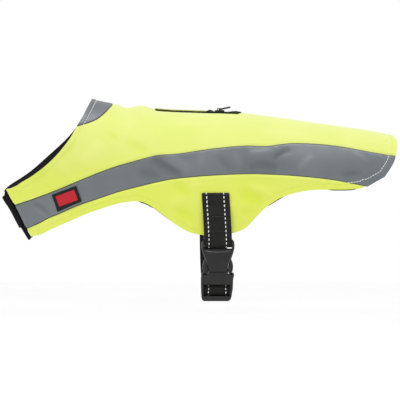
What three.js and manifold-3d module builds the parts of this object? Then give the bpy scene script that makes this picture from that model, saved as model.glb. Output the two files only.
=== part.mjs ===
// Dog safety vest for a small dog, worn shape with nobody in it.
// Millimetres, +Z up, -X towards the neck, -Y is the dog's left side.
// The origin is in the cloth at the middle of the back, by which the wearer carries the vest.
import * as THREE from "three";
import { mergeVertices } from "three/addons/utils/BufferGeometryUtils.js";
import Module from "manifold-3d";

const wasm = await Module();
wasm.setup();

// ---- driving dimensions ----
const CLOTH = 1.2; // outer cloth, two plies at the seams averaged out
const LINING = 1.0; // mesh lining
const GAP = 0.3; // between pieces that touch
const ZIP_HALF_OPENING = 3.2; // from the centre line to the turned edge beside the zip
const TAPE_REACH = 9.8; // from the centre line to a zip tape's outer edge
const FRONT_ROUND = 100; // how far back from the chest's front line the sides still round in
const CHEST_FRONT = { x: -227, z: -97.6 }; // a point on the chest's front line
const FRONT_NORMAL = { x: 0.837, z: 0.548 }; // square to that line, pointing back into the vest

// The general figure that the cloth hangs on, a row for each cross section.
// spine: height of the back line, middle: height where the section is widest,
// wide: half of its width there, keel: how far below the middle it would close.
const FIGURE = [
  { x: -235, spine: 118, middle: -62, wide: 60, keel: 170 },
  { x: -200, spine: 82, middle: -60, wide: 61, keel: 170 },
  { x: -165, spine: 46, middle: -58, wide: 62, keel: 170 },
  { x: -140, spine: 26, middle: -60, wide: 64, keel: 165 },
  { x: -124, spine: 15.6, middle: -62, wide: 66, keel: 165 },
  { x: -112, spine: 13, middle: -64, wide: 67, keel: 160 },
  { x: -100, spine: 10.2, middle: -66, wide: 68, keel: 155 },
  { x: -84, spine: 4.8, middle: -68, wide: 69.5, keel: 155 },
  { x: -66, spine: 6.6, middle: -70, wide: 71, keel: 155 },
  { x: -50, spine: 2.8, middle: -72, wide: 72, keel: 155 },
  { x: 0, spine: 0.4, middle: -74, wide: 73, keel: 160 },
  { x: 50, spine: -1.3, middle: -75, wide: 71, keel: 160 },
  { x: 100, spine: -7.6, middle: -76, wide: 66, keel: 130 },
  { x: 150, spine: -15, middle: -78, wide: 60, keel: 110 },
  { x: 200, spine: -22, middle: -82, wide: 54, keel: 95 },
  { x: 235, spine: -29.5, middle: -86, wide: 49, keel: 90 },
];

// Cut edges in side view. Each is a smooth line through its rows.
const NECK_EDGE = [
  { x: -222, z: -89 },
  { x: -206, z: -80 },
  { x: -185, z: -67 },
  { x: -168, z: -51 },
  { x: -158, z: -40 },
  { x: -141.3, z: -16 },
  { x: -124, z: 15.6 },
];
const NAPE_SEAM = [
  { x: -141.3, z: -16 },
  { x: -131.7, z: -13.3 },
  { x: -117, z: -7.5 },
  { x: -108.8, z: 0.1 },
  { x: -100, z: 10.2 },
];
const STRIPE = [
  { x: -212, upper: -107, lower: -138 },
  { x: -192, upper: -99, lower: -129 },
  { x: -168, upper: -90, lower: -116.6 },
  { x: -143, upper: -79, lower: -107.2 },
  { x: -120, upper: -69.4, lower: -99.4 },
  { x: -97, upper: -61, lower: -91.4 },
  { x: -69, upper: -53, lower: -84 },
  { x: -49, upper: -48, lower: -79.2 },
  { x: -33, upper: -47.6, lower: -76 },
  { x: 13, upper: -41, lower: -72 },
  { x: 57, upper: -37.4, lower: -70.4 },
  { x: 74, upper: -38.6, lower: -71 },
  { x: 101, upper: -35, lower: -72.2 },
  { x: 152, upper: -37.4, lower: -77.6 },
  { x: 189.5, upper: -44, lower: -84.8 },
  { x: 225, upper: -50, lower: -90 },
];
const LOWER_EDGE = [
  { x: -193, z: -140.4 },
  { x: -179, z: -137 },
  { x: -157, z: -127.5 },
  { x: -135, z: -117.6 },
  { x: -115, z: -110 },
  { x: -92, z: -103.4 },
  { x: -70, z: -101.6 },
  { x: -55.2, z: -109 },
  { x: -37.2, z: -123 },
  { x: -12.2, z: -136.6 },
  { x: 15.8, z: -141.5 },
  { x: 34.8, z: -139 },
  { x: 51.8, z: -132 },
  { x: 67.8, z: -115.4 },
  { x: 87, z: -99.5 },
  { x: 106.4, z: -92.6 },
  { x: 126, z: -89 },
  { x: 150, z: -88.6 },
  { x: 174, z: -88.5 },
  { x: 187, z: -86.6 },
];
// The tail hem of each panel, from its upper corner to its lower one.
const TAIL_HEM = {
  back: [
    { x: 224, z: along(FIGURE, "spine", 224) },
    { x: 226.6, z: -31.5 },
    { x: 227.5, z: -38 },
    { x: 225, z: -50 },
  ],
  stripe: [
    { x: 225, z: -50 },
    { x: 222.5, z: -59 },
    { x: 211.5, z: -74 },
    { x: 191.5, z: -85.3 },
  ],
};

// Where the cross threads of the grid run: the x of each on the top edge, on the
// stripe's two edges and on the lower edge, and the number of cells up to the next row.
const THREADS = [
  { top: -222, upper: -212, lower: -198, edge: -193, cells: 2 },
  { top: -211, upper: -202, lower: -188, edge: -183, cells: 2 },
  { top: -194, upper: -187, lower: -174, edge: -169, cells: 3 },
  { top: -141.3, upper: -140, lower: -136, edge: -133, cells: 3 },
  { top: -109, upper: -110, lower: -108, edge: -106, cells: 1 },
  { top: -104.2, upper: -104, lower: -102, edge: -100, cells: 1 },
  { top: -101.1, upper: -98, lower: -96, edge: -94, cells: 1 },
  { top: -100, upper: -92, lower: -89, edge: -87, cells: 4 },
  { top: -54, upper: -54, lower: -54, edge: -53, cells: 1 },
  { top: -52, upper: -49, lower: -49, edge: -48, cells: 8 },
  { top: 49, upper: 47, lower: 47, edge: 47, cells: 1 },
  { top: 51, upper: 53, lower: 53, edge: 53, cells: 8 },
  { top: 150, upper: 148, lower: 135, edge: 130, cells: 5 },
  { top: 224, upper: 225, lower: 187, edge: 187, cells: 0 },
];
const ROWS = { back: 7, stripe: 3, flank: 4 };
const CORNER_THREAD = 7; // the thread at the nape seam's lower corner
const SPINE_THREAD = 13; // the first thread whose top lies on the spine
const ZIP_THREADS = { first: 18, last: 26 }; // threads between which the zip opens

// ---- colours ----
const HI_VIS = { color: 0xdff25a, roughness: 0.7, metalness: 0 };
const REFLECTIVE = { color: 0x7c8489, roughness: 0.45, metalness: 0.1 };
const BLACK_MESH = { color: 0x17181a, roughness: 0.9, metalness: 0 };
const BLACK_WEB = { color: 0x222323, roughness: 0.8, metalness: 0 };
const BLACK_PLASTIC = { color: 0x2b2c2e, roughness: 0.4, metalness: 0 };

const vest = new THREE.Group();

function addPiece(name, geometry, looks) {
  const mesh = new THREE.Mesh(geometry, new THREE.MeshStandardMaterial(looks));
  mesh.name = name;
  vest.add(mesh);
  return mesh;
}

// Smooth line through the rows of a table: the value of one column at x.
function along(table, column, x) {
  let i = 0;
  while (i < table.length - 2 && x > table[i + 1].x) i += 1;
  const [p, q] = [table[i], table[i + 1]];
  const before = table[Math.max(i - 1, 0)];
  const after = table[Math.min(i + 2, table.length - 1)];
  const span = q.x - p.x;
  const slopeP = (q[column] - before[column]) / (q.x - before.x);
  const slopeQ = (after[column] - p[column]) / (after.x - p.x);
  const t = (x - p.x) / span;
  const s = 1 - t;
  return (
    p[column] * s * s * (1 + 2 * t) +
    q[column] * t * t * (1 + 2 * s) +
    slopeP * span * t * s * s -
    slopeQ * span * t * t * s
  );
}

function smoothstep(from, to, value) {
  const t = Math.min(Math.max((value - from) / (to - from), 0), 1);
  return t * t * (3 - 2 * t);
}

// Height in the cross section, 1 at the back line and -1 at the keel.
function rise(x, z) {
  const middle = along(FIGURE, "middle", x);
  const half = z > middle ? along(FIGURE, "spine", x) - middle : along(FIGURE, "keel", x);
  return (z - middle) / half;
}

// 0 on the chest's front line, 1 from FRONT_ROUND behind it.
function frontRound(x, z) {
  const behind = (x - CHEST_FRONT.x) * FRONT_NORMAL.x + (z - CHEST_FRONT.z) * FRONT_NORMAL.z;
  const t = Math.min(behind / FRONT_ROUND, 1);
  return 1 - (1 - t) ** 2;
}

function widthSquared(x, z) {
  const wide = along(FIGURE, "wide", x);
  return wide * wide * frontRound(x, z) * (1 - rise(x, z) ** 2);
}

// Half the figure's width at a point of the side view.
function halfWidth(x, z) {
  return Math.sqrt(Math.max(widthSquared(x, z), 0));
}

// The direction out of the figure's surface at a point on it.
function outward(x, y, z) {
  const step = 0.05;
  const inside = (dx, dz) => y * y - widthSquared(x + dx, z + dz);
  return new THREE.Vector3(
    (inside(step, 0) - inside(-step, 0)) / (2 * step),
    2 * y,
    (inside(0, step) - inside(0, -step)) / (2 * step),
  ).normalize();
}

// A point on the left half's surface (y is turned negative at the end), moved out by lift.
function onFigure(x, z, lift, least = 0) {
  const y = Math.max(halfWidth(x, z), least);
  const n = outward(x, y, z);
  return new THREE.Vector3(x, y, z).addScaledVector(n, lift);
}

// The grid's thread t: its x on each of the four lines, spread over the table's cells.
const threads = [];
THREADS.forEach((row, i) => {
  const next = THREADS[i + 1] ?? row;
  for (let c = 0; c < Math.max(row.cells, 1); c += 1) {
    const t = row.cells ? c / row.cells : 0;
    const mix = (key) => THREE.MathUtils.lerp(row[key], next[key], t);
    threads.push({ top: mix("top"), upper: mix("upper"), lower: mix("lower"), edge: mix("edge") });
  }
});
const LAST = threads.length - 1;

// The four lines of the side view, each as a point for one thread.
const lines = {
  top: (t) => {
    const { top } = threads[t];
    if (t < CORNER_THREAD) return { x: top, z: along(NECK_EDGE, "z", top) };
    if (t < SPINE_THREAD) return { x: top, z: along(NAPE_SEAM, "z", top) };
    return { x: top, z: along(FIGURE, "spine", top) };
  },
  upper: (t) => ({ x: threads[t].upper, z: along(STRIPE, "upper", threads[t].upper) }),
  lower: (t) => ({ x: threads[t].lower, z: along(STRIPE, "lower", threads[t].lower) }),
  edge: (t) => ({ x: threads[t].edge, z: along(LOWER_EDGE, "z", threads[t].edge) }),
};

// How far the section has turned at a point, so that rows are evenly spaced round it.
function turn(point) {
  return Math.acos(Math.min(Math.max(rise(point.x, point.z), -1), 1));
}

// Where a tail hem runs at fraction f of its length, as a smooth line through its points.
function hemPoint(hem, f) {
  const curve = new THREE.CatmullRomCurve3(hem.map((p) => new THREE.Vector3(p.x, 0, p.z)));
  const p = curve.getPoint(f);
  return { x: p.x, z: p.z };
}

// A point of a panel between two lines: thread t, fraction f of the way down.
function between(upLine, downLine, t, f, hem) {
  const up = upLine(t);
  const down = downLine(t);
  const [a, b] = [turn(up), turn(down)];
  const here = Math.cos(THREE.MathUtils.lerp(a, b, f));
  const share = (Math.cos(a) - here) / (Math.cos(a) - Math.cos(b));
  const x = THREE.MathUtils.lerp(up.x, down.x, share);
  const z = THREE.MathUtils.lerp(up.z, down.z, share);
  if (!hem) return { x, z };
  // near the tail the panel's end follows its hem
  const [upEnd, downEnd] = [upLine(LAST), downLine(LAST)];
  const end = hemPoint(hem, f);
  const pull = smoothstep(LAST - 5, LAST, t);
  const straight = {
    x: THREE.MathUtils.lerp(upEnd.x, downEnd.x, share),
    z: THREE.MathUtils.lerp(upEnd.z, downEnd.z, share),
  };
  return { x: x + pull * (end.x - straight.x), z: z + pull * (end.z - straight.z) };
}

// A wall from a grid of points: outer and inner are rows of points, and has(i, j)
// says which cells are there. Its edges are closed all round.
function wall(outer, inner, has = () => true, mirrored = false) {
  const [rows, columns] = [outer.length, outer[0].length];
  const positions = [...outer.flat(), ...inner.flat()].flatMap((p) => [p.x, p.y, p.z]);
  const count = rows * columns;
  const index = [];
  const quad = (a, b, c, d) => {
    if (mirrored) index.push(a, c, b, a, d, c);
    else index.push(a, b, c, a, c, d);
  };
  const at = (i, j) => i * columns + j;
  const cell = (i, j) => i >= 0 && j >= 0 && i < rows - 1 && j < columns - 1 && has(i, j);
  for (let i = 0; i < rows - 1; i += 1) {
    for (let j = 0; j < columns - 1; j += 1) {
      if (!cell(i, j)) continue;
      const [a, b, c, d] = [at(i, j), at(i, j + 1), at(i + 1, j + 1), at(i + 1, j)];
      quad(a, b, c, d);
      quad(a + count, d + count, c + count, b + count); // split along the same diagonal
      if (!cell(i - 1, j)) quad(b, a, a + count, b + count);
      if (!cell(i + 1, j)) quad(d, c, c + count, d + count);
      if (!cell(i, j - 1)) quad(a, d, d + count, a + count);
      if (!cell(i, j + 1)) quad(c, b, b + count, c + count);
    }
  }
  const raw = new THREE.BufferGeometry();
  raw.setAttribute("position", new THREE.Float32BufferAttribute(positions, 3));
  raw.setIndex(index);
  const geometry = mergeVertices(raw, 1e-4).toNonIndexed();
  geometry.computeVertexNormals();
  return geometry;
}

// Both sides of a piece given by a grid of side-view points on the figure.
// out and into are how far its two faces lie outside the figure's surface.
function sidePieces(name, grid, out, into, looks, has, least = () => 0) {
  for (const [side, word] of [
    [-1, "left"],
    [1, "right"],
  ]) {
    const face = (lift) =>
      grid.map((row, i) =>
        row.map((p, j) => {
          const v = onFigure(p.x, p.z, lift, least(i, j));
          return new THREE.Vector3(v.x, side * v.y, v.z);
        }),
      );
    addPiece(name + "_" + word, wall(face(out), face(into), has, side < 0), looks);
  }
}

const zipOpens = (t) => t >= ZIP_THREADS.first && t <= ZIP_THREADS.last;
const spineEdge = (t) => (zipOpens(t) ? ZIP_HALF_OPENING : GAP / 2);
const shift = (line, dz) => (t) => ({ x: line(t).x, z: line(t).z + dz });

function grid(upLine, downLine, rows, hem) {
  return Array.from({ length: rows + 1 }, (_, i) =>
    Array.from({ length: LAST + 1 }, (_, t) => between(upLine, downLine, t, i / rows, hem)),
  );
}

const backGrid = grid(lines.top, shift(lines.upper, GAP / 2), ROWS.back, TAIL_HEM.back);
const stripeGrid = grid(
  shift(lines.upper, -GAP / 2),
  shift(lines.lower, GAP / 2),
  ROWS.stripe,
  TAIL_HEM.stripe,
);
const flankGrid = grid(shift(lines.lower, -GAP / 2), lines.edge, ROWS.flank);

// ---- outer panels ----
sidePieces("back_panel", backGrid, 0, -CLOTH, HI_VIS, undefined, (i, t) =>
  i === 0 && t >= SPINE_THREAD ? spineEdge(t) : 0,
);
sidePieces("stripe", stripeGrid, 0, -CLOTH, REFLECTIVE);
sidePieces("flank_panel", flankGrid, 0, -CLOTH, HI_VIS);

// ---- lining, cut like the three panels together, and left open under the zip ----
const LINING_OUT = -CLOTH - GAP;
const LINING_IN = LINING_OUT - LINING;
const liningGrid = [
  ...grid(lines.top, lines.upper, ROWS.back, TAIL_HEM.back),
  ...grid(lines.upper, lines.lower, ROWS.stripe, TAIL_HEM.stripe).slice(1),
  ...grid(lines.lower, lines.edge, ROWS.flank).slice(1),
];
const underZip = (i, t) => i === 0 && t >= ZIP_THREADS.first - 1 && t <= ZIP_THREADS.last;
sidePieces(
  "lining",
  liningGrid,
  LINING_OUT,
  LINING_IN,
  BLACK_MESH,
  (i, t) => t > 1 && !underZip(i, t),
  (i, t) => (i === 0 && t >= SPINE_THREAD ? GAP / 2 : 0),
);

// ---- nape patch: one piece over the back of the neck, and its lining ----
// The point of the neck edge where the section has turned as far as given.
function neckPointAt(angle) {
  let [low, high] = [NECK_EDGE[5].x, NECK_EDGE[6].x];
  for (let n = 0; n < 30; n += 1) {
    const x = (low + high) / 2;
    if (turn({ x, z: along(NECK_EDGE, "z", x) }) > angle) low = x;
    else high = x;
  }
  return { x: low, z: along(NECK_EDGE, "z", low) };
}

const SEAM_OFFSET = { x: -0.2, z: 0.26 }; // the patch's edge from the back panels' edge
const CORNER_CUT = { x: 1.4, z: 0.32 }; // its lower corners are blunt
function napePatch(name, out, into, looks) {
  const half = [];
  for (let t = CORNER_THREAD; t <= SPINE_THREAD; t += 1) {
    const seam = { x: lines.top(t).x + SEAM_OFFSET.x, z: lines.top(t).z + SEAM_OFFSET.z };
    if (t === CORNER_THREAD) {
      seam.x += CORNER_CUT.x;
      seam.z = along(NAPE_SEAM, "z", seam.x - SEAM_OFFSET.x) + CORNER_CUT.z;
    }
    if (t === SPINE_THREAD) seam.z = along(FIGURE, "spine", seam.x);
    half.push({ neck: neckPointAt(turn(seam)), seam });
  }
  const column = ({ neck, seam }, side, lift) =>
    [0, 1 / 3, 2 / 3, 1].map((f) => {
      const x = THREE.MathUtils.lerp(neck.x, seam.x, f);
      const z = THREE.MathUtils.lerp(neck.z, seam.z, f);
      const v = onFigure(x, Math.min(z, along(FIGURE, "spine", x)), lift);
      return new THREE.Vector3(v.x, side * v.y, v.z);
    });
  const face = (lift) => [
    ...half.map((c) => column(c, -1, lift)),
    ...half.slice(0, -1).reverse().map((c) => column(c, 1, lift)),
  ];
  addPiece(name, wall(face(out), face(into)), looks);
}
napePatch("nape_patch", 0, -CLOTH, REFLECTIVE);
napePatch("nape_lining", LINING_OUT, LINING_IN, BLACK_MESH);

// ---- front closure: a loop strip on the right half, a hook tab on the left one ----
const STRIP = { thick: 1.2, tucked: 8, onFar: 6, climb: 14 };
const TAB = { thick: 2, from: 0, to: 39, near: 1.2, far: 12 };
const FRONT_LINE = { x: 0.548, z: -0.837, length: 56.6 };
const FRONT_EDGE = { top: 24.6, bottom: 16.4 }; // half width where the panels end
// how far the neck edge and the lower edge climb from the middle to there
const END_CLIMB = { top: 4.5, bottom: 2.1 };

// A point over the front of the chest: how far down the front line, and how far across.
function onFront(down, y) {
  const p = { x: CHEST_FRONT.x + down * FRONT_LINE.x, z: CHEST_FRONT.z + down * FRONT_LINE.z };
  const base = { ...p };
  for (let n = 0; n < 6; n += 1) {
    const full = along(FIGURE, "wide", p.x) ** 2 * (1 - rise(p.x, p.z) ** 2);
    const behind = FRONT_ROUND * (1 - Math.sqrt(1 - (y * y) / full));
    p.x = base.x + behind * FRONT_NORMAL.x;
    p.z = base.z + behind * FRONT_NORMAL.z;
  }
  return p;
}

const frontEdge = (down) => {
  const share = (down + END_CLIMB.top) / (FRONT_LINE.length - END_CLIMB.bottom + END_CLIMB.top);
  return THREE.MathUtils.lerp(FRONT_EDGE.top, FRONT_EDGE.bottom, share);
};
// the strip lies under the left panel, and climbs over the right one
const stripLift = (y) =>
  THREE.MathUtils.lerp(
    -CLOTH - 2 * GAP - STRIP.thick,
    GAP,
    smoothstep(-FRONT_EDGE.bottom, STRIP.climb, y),
  );

function frontPiece(name, downs, acrossAt, lift, looks) {
  const face = (extra) =>
    downs.map((down) =>
      acrossAt(down).map((y) => {
        const bend = Math.min((y / FRONT_EDGE.top) ** 2, 1);
        const share = down / FRONT_LINE.length;
        const d = down - bend * THREE.MathUtils.lerp(END_CLIMB.top, END_CLIMB.bottom, share);
        const p = onFront(d, y);
        const n = outward(p.x, Math.abs(y), p.z);
        n.y *= Math.sign(y) || 0;
        return new THREE.Vector3(p.x, y, p.z).addScaledVector(n, lift(y) + extra);
      }),
    );
  return (thick) => addPiece(name, wall(face(thick), face(0)), looks);
}

const spread = (from, to, cells) =>
  Array.from({ length: cells + 1 }, (_, i) => from + ((to - from) * i) / cells);
frontPiece(
  "closure_loop",
  spread(0, FRONT_LINE.length, 5),
  (down) => spread(-frontEdge(down) - STRIP.tucked, frontEdge(down) + STRIP.onFar, 12),
  stripLift,
  BLACK_WEB,
)(STRIP.thick);
frontPiece(
  "closure_hook",
  spread(TAB.from, TAB.to, 4),
  (down) => spread(-frontEdge(down) + TAB.near, TAB.far, 8),
  (y) => stripLift(y) + STRIP.thick + GAP,
  BLACK_WEB,
)(TAB.thick);

// ---- patch label on the left stripe ----
const LABEL = { x: -153.3, z: -97.7, long: 29.5, tall: 19, tilt: 20.6, thick: 0.8 };

function addLabel() {
  const tilt = THREE.MathUtils.degToRad(LABEL.tilt);
  const face = (lift) =>
    spread(LABEL.tall / 2, -LABEL.tall / 2, 3).map((v) =>
      spread(-LABEL.long / 2, LABEL.long / 2, 5).map((u) => {
        const x = LABEL.x + u * Math.cos(tilt) - v * Math.sin(tilt);
        const z = LABEL.z + u * Math.sin(tilt) + v * Math.cos(tilt);
        const p = onFigure(x, z, lift);
        return new THREE.Vector3(p.x, -p.y, p.z);
      }),
    );
  addPiece("patch_label", wall(face(GAP + LABEL.thick), face(GAP), undefined, true), BLACK_MESH);
}
addLabel();

// A closed solid through sections, each a ring of the same number of points.
function loft(sections) {
  const size = sections[0].length;
  const positions = sections.flat().flatMap((p) => [p.x, p.y, p.z]);
  const index = [];
  for (let i = 0; i < sections.length - 1; i += 1) {
    for (let k = 0; k < size; k += 1) {
      const [a, b] = [i * size + k, i * size + ((k + 1) % size)];
      index.push(a, b, b + size, a, b + size, a + size);
    }
  }
  const last = (sections.length - 1) * size;
  for (let k = 1; k < size - 1; k += 1) {
    index.push(0, k + 1, k);
    index.push(last, last + k, last + k + 1);
  }
  const raw = new THREE.BufferGeometry();
  raw.setAttribute("position", new THREE.Float32BufferAttribute(positions, 3));
  raw.setIndex(index);
  const geometry = raw.toNonIndexed();
  geometry.computeVertexNormals();
  return geometry;
}

// ---- zip: two tapes under the panels' turned edges, the chain, the slider and its pull ----
const ZIP_XS = threads.slice(ZIP_THREADS.first, ZIP_THREADS.last + 1).map((t) => t.top);
const CHAIN = { half: 2.8, under: -1.15, crest: 0.9 };
// where the closed chain stands up from the cloth beside the slider
const CHAIN_WAVES = [
  { x: 12.4, long: 5, high: 2 },
  { x: 42, long: 9, high: 1.3 },
];
const SLIDER = { x: 23.4, long: 11, wide: 7.6, under: 1.2, thick: 1.1 };
const BRIDGE = { long: 6, half: 0.7, tall: 2.3, post: 0.9, bar: 0.8 };
const PULL = { x: 23, z: 3.05, long: 13, wide: 4.8, thick: 0.9, ring: 5, rim: 0.6, tilt: 12 };
const EYE = { from: 0.45, half: 1.3 }; // the ring's hole, from just past the bridge's bar

const spineAt = (x) => along(FIGURE, "spine", x);
for (const [side, word] of [
  [-1, "left"],
  [1, "right"],
]) {
  const face = (lift) =>
    [GAP / 2, TAPE_REACH / 2, TAPE_REACH].map((y) =>
      ZIP_XS.map((x) => {
        const middle = along(FIGURE, "middle", x);
        const drop = Math.sqrt(1 - (y / along(FIGURE, "wide", x)) ** 2);
        const v = onFigure(x, middle + (spineAt(x) - middle) * drop, lift);
        return new THREE.Vector3(v.x, side * v.y, v.z);
      }),
    );
  const tape = wall(face(LINING_OUT), face(LINING_IN), undefined, side < 0);
  addPiece("zip_tape_" + word, tape, BLACK_MESH);
}

const chainWave = (x) =>
  CHAIN_WAVES.reduce((sum, w) => {
    const t = Math.min(Math.abs(x - w.x) / w.long, 1);
    return sum + w.high * (1 - t * t) ** 2;
  }, 0);
addPiece(
  "zip_chain",
  loft(
    [...spread(-51, 6, 7), 9, 11, 13, 15, 17.4, 27, 33, 37, 42, 46, 48.4].map((x) => {
      const z = spineAt(x) + chainWave(x);
      return [
        [CHAIN.half, CHAIN.under],
        [CHAIN.half, CHAIN.crest / 3],
        [CHAIN.half / 2, CHAIN.crest],
        [-CHAIN.half / 2, CHAIN.crest],
        [-CHAIN.half, CHAIN.crest / 3],
        [-CHAIN.half, CHAIN.under],
      ].map(([y, up]) => new THREE.Vector3(x, y, z + up));
    }),
  ),
  BLACK_PLASTIC,
);

function solidOf(geometry) {
  const bare = geometry.clone();
  bare.deleteAttribute("normal");
  bare.deleteAttribute("uv");
  const merged = mergeVertices(bare, 2e-3);
  return new wasm.Manifold(
    new wasm.Mesh({
      numProp: 3,
      vertProperties: new Float32Array(merged.attributes.position.array),
      triVerts: new Uint32Array(merged.index.array),
    }),
  );
}

function geometryOf(solid) {
  const mesh = solid.getMesh();
  const geometry = new THREE.BufferGeometry();
  geometry.setAttribute("position", new THREE.BufferAttribute(mesh.vertProperties, 3));
  geometry.setIndex(new THREE.BufferAttribute(mesh.triVerts, 1));
  const flat = geometry.toNonIndexed();
  flat.computeVertexNormals();
  return flat;
}

// A box between two corners.
function block(from, to) {
  const box = new THREE.BoxGeometry(to[0] - from[0], to[1] - from[1], to[2] - from[2]);
  box.translate((from[0] + to[0]) / 2, (from[1] + to[1]) / 2, (from[2] + to[2]) / 2);
  return box;
}

// Slider plate with a broad nose towards the tail, and the bridge that holds the pull.
function addSlider() {
  const { long, wide, thick } = SLIDER;
  const heel = wide * 0.32;
  const nose = wide * 0.2;
  const outline = new THREE.Shape();
  outline.moveTo(-long / 2, -heel);
  outline.lineTo(long / 4, -wide / 2);
  outline.quadraticCurveTo(long / 2, -wide / 2, long / 2, -nose);
  outline.lineTo(long / 2, nose);
  outline.quadraticCurveTo(long / 2, wide / 2, long / 4, wide / 2);
  outline.lineTo(-long / 2, heel);
  outline.closePath();
  const plate = new THREE.ExtrudeGeometry(outline, { depth: thick, bevelEnabled: false });
  const top = thick + BRIDGE.tall;
  const end = BRIDGE.long / 2;
  const part = (from, to, low) =>
    solidOf(block([from, -BRIDGE.half, low], [to, BRIDGE.half, top]));
  const solid = solidOf(plate)
    .add(part(-end, -end + BRIDGE.post, thick / 2))
    .add(part(end - BRIDGE.post, end, thick / 2))
    .add(part(-end, end, top - BRIDGE.bar));
  const slider = addPiece("zip_slider", geometryOf(solid), BLACK_PLASTIC);
  slider.position.set(SLIDER.x, 0, spineAt(SLIDER.x) + SLIDER.under);
}
addSlider();

// Pull: a ring round the bridge's bar, and a flat tab.
function addPull() {
  const { long, wide, thick, ring, rim } = PULL;
  const tip = wide * 0.38;
  const rounding = 1.4;
  const outer = new THREE.Shape();
  outer.moveTo(-EYE.from, -wide / 2);
  outer.lineTo(ring, -wide / 2);
  outer.lineTo(long - rounding, -tip);
  outer.quadraticCurveTo(long, -tip, long, 0);
  outer.quadraticCurveTo(long, tip, long - rounding, tip);
  outer.lineTo(ring, wide / 2);
  outer.lineTo(-EYE.from, wide / 2);
  outer.closePath();
  const eye = new THREE.Path();
  eye.moveTo(EYE.from, -EYE.half);
  eye.lineTo(EYE.from, EYE.half);
  eye.lineTo(ring - rim, EYE.half);
  eye.lineTo(ring - rim, -EYE.half);
  eye.closePath();
  outer.holes.push(eye);
  const tab = new THREE.ExtrudeGeometry(outer, { depth: thick, bevelEnabled: false });
  tab.translate(0, 0, -thick / 2);
  const pull = addPiece("zip_pull", tab, BLACK_PLASTIC);
  pull.position.set(PULL.x, 0, spineAt(PULL.x) + PULL.z);
  pull.rotation.y = -THREE.MathUtils.degToRad(PULL.tilt);
}
addPull();

// ---- belly belt ----
const BELT = { x: 16.8, drift: 2, half: 15.25, thick: 1.6, top: -92.7, leave: -141.5 };
const RETURN_TOP = -119; // how high the near end's second layer reaches
// The frame of the buckle: down the belt from where it leaves the left flap, and out from it.
const LEAN = THREE.MathUtils.degToRad(12);
const DOWN = { y: Math.sin(LEAN), z: -Math.cos(LEAN) };
const OUT = { y: -Math.cos(LEAN), z: -Math.sin(LEAN) };
const beltX = (z) => BELT.x + (BELT.drift * (BELT.top - z)) / (BELT.top - BELT.leave);
const BUCKLE_X = BELT.x + BELT.drift;

// A cross section of webbing whose middle lies on the left flap, lifted off it.
function onFlap(z, lift, side) {
  const across = (k, extra) => {
    const v = onFigure(beltX(z) + k * BELT.half, z, lift + extra);
    return new THREE.Vector3(v.x, side * v.y, v.z);
  };
  const h = BELT.thick / 2;
  return [across(-1, h), across(0, h), across(1, h), across(1, -h), across(0, -h), across(-1, -h)];
}

const flapFoot = onFlap(BELT.leave, GAP + BELT.thick + GAP + BELT.thick / 2, -1);
const BUCKLE_DROP = 1.2; // from the flap's edge to the start of the buckle's frame
const FOOT = {
  y: (flapFoot[1].y + flapFoot[4].y) / 2 + BUCKLE_DROP * DOWN.y,
  z: (flapFoot[1].z + flapFoot[4].z) / 2 + BUCKLE_DROP * DOWN.z,
};
// A point of the buckle's frame in the y-z plane: s down the belt, q out of it.
const inBuckle = ([s, q]) => ({
  y: FOOT.y + s * DOWN.y + q * OUT.y,
  z: FOOT.z + s * DOWN.z + q * OUT.z,
});

// Cross sections along a free run of webbing, given by its middle points in the y-z plane.
// face tells which side of the run the outer face lies on: 1 to its left, -1 to its right.
function freeRun(points, face) {
  return points.slice(1, -1).map((p, i) => {
    const [before, after] = [points[i], points[i + 2]];
    const length = Math.hypot(after.y - before.y, after.z - before.z);
    const n = { y: (face * (before.z - after.z)) / length, z: (face * (after.y - before.y)) / length };
    const corner = (k, h) =>
      new THREE.Vector3(BUCKLE_X + k * BELT.half, p.y + h * n.y, p.z + h * n.z);
    const h = BELT.thick / 2;
    return [corner(-1, h), corner(0, h), corner(1, h), corner(1, -h), corner(0, -h), corner(-1, -h)];
  });
}
const middleOf = (ring) => ({ y: (ring[1].y + ring[4].y) / 2, z: (ring[1].z + ring[4].z) / 2 });

// how far the outer layer stands off the flap: it climbs over the end of the second layer
const NEAR_LIFT = { single: GAP + BELT.thick / 2, double: 2 * GAP + 1.5 * BELT.thick };
const nearLift = (z) =>
  THREE.MathUtils.lerp(NEAR_LIFT.double, NEAR_LIFT.single, smoothstep(-117, -108, z));
const nearHeights = [...spread(BELT.top, -104, 2), ...spread(-108, -117, 2), ...spread(-124, -138, 2)];
const nearDown = nearHeights.map((z) => onFlap(z, nearLift(z), -1));
const nearUp = spread(-136, RETURN_TOP, 3).map((z) => onFlap(z, NEAR_LIFT.single, -1));
// round the plug's top bar, as places in the buckle's frame
const PLUG_WRAP = [
  [0, 0],
  [4, 0],
  [8, 0],
  [9.9, -0.3],
  [11.3, -1.3],
  [11.6, -2.6],
  [10.8, -3.8],
  [9, -4.2],
  [5.5, -4.1],
  [2.6, -3.9],
  [1.2, -3.3],
  [0, -2.6],
  [-1.6, -2],
  [-3.4, -1.9],
];
const wrapPoints = PLUG_WRAP.map(inBuckle);
const nearFree = freeRun(
  [middleOf(nearDown.at(-1)), ...wrapPoints, middleOf(nearUp[0])],
  -1,
);
// on the way up the outer face has become the one against the flap
const turned = (ring) => ring.toReversed();
const nearRings = [...nearDown, ...nearFree, ...nearUp.map(turned)];
addPiece("belt_near", loft(nearRings.map(turned)), BLACK_WEB);

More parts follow.
